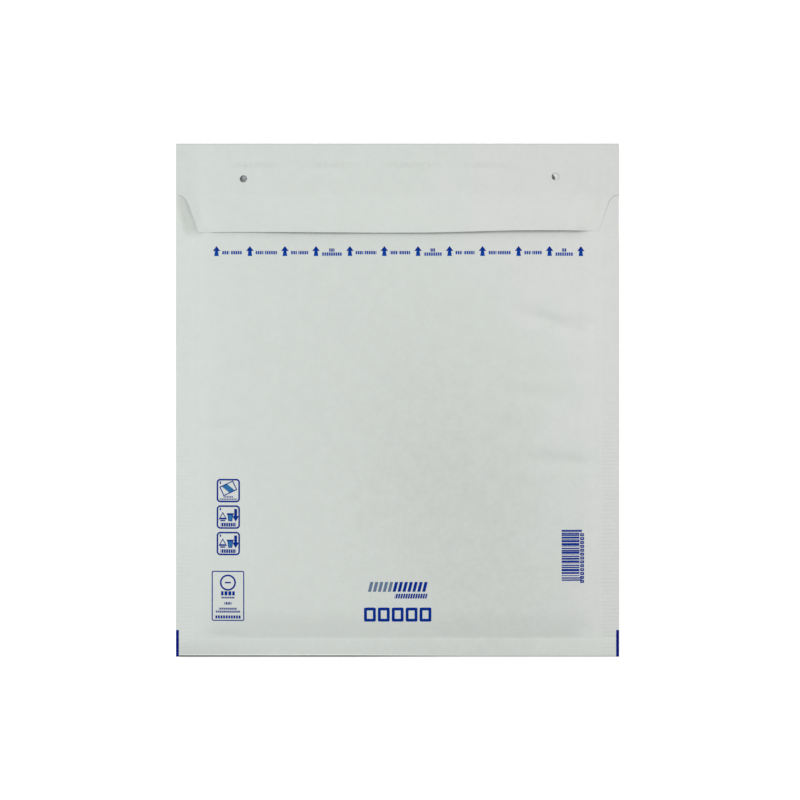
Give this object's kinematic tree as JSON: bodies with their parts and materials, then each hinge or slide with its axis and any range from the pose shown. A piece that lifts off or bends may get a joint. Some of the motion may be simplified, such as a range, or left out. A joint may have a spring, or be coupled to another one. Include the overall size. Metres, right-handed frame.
{
  "type": "padded envelope",
  "caption": "White padded mailing envelope lying flat on its back, bubble film liner inside a paper cover, tapered flap folded over the front with punched clasp holes.",
  "frame": {"origin": "centre of the whole envelope in X and Y, at the level that its back rests on", "axes": "+Z out of the front, where the flap lies; +Y towards the top fold; +X to the right as the front is seen"},
  "size_m": [0.24, 0.278, 0.0098],
  "materials": {
    "white_paper": "uncoated white kraft paper, faint fibres, blue print",
    "bubble_film": "clear polyethylene bubble film, milky where plies lie together",
    "adhesive": "pale tacky hot melt band",
    "release_paper": "smooth silicone coated white release paper"
  },
  "bodies": {
    "root": {"paper_cover": "white_paper", "bubble_liner": "bubble_film", "adhesive_band": "adhesive", "release_strip": "release_paper"}
  },
  "joints": []
}
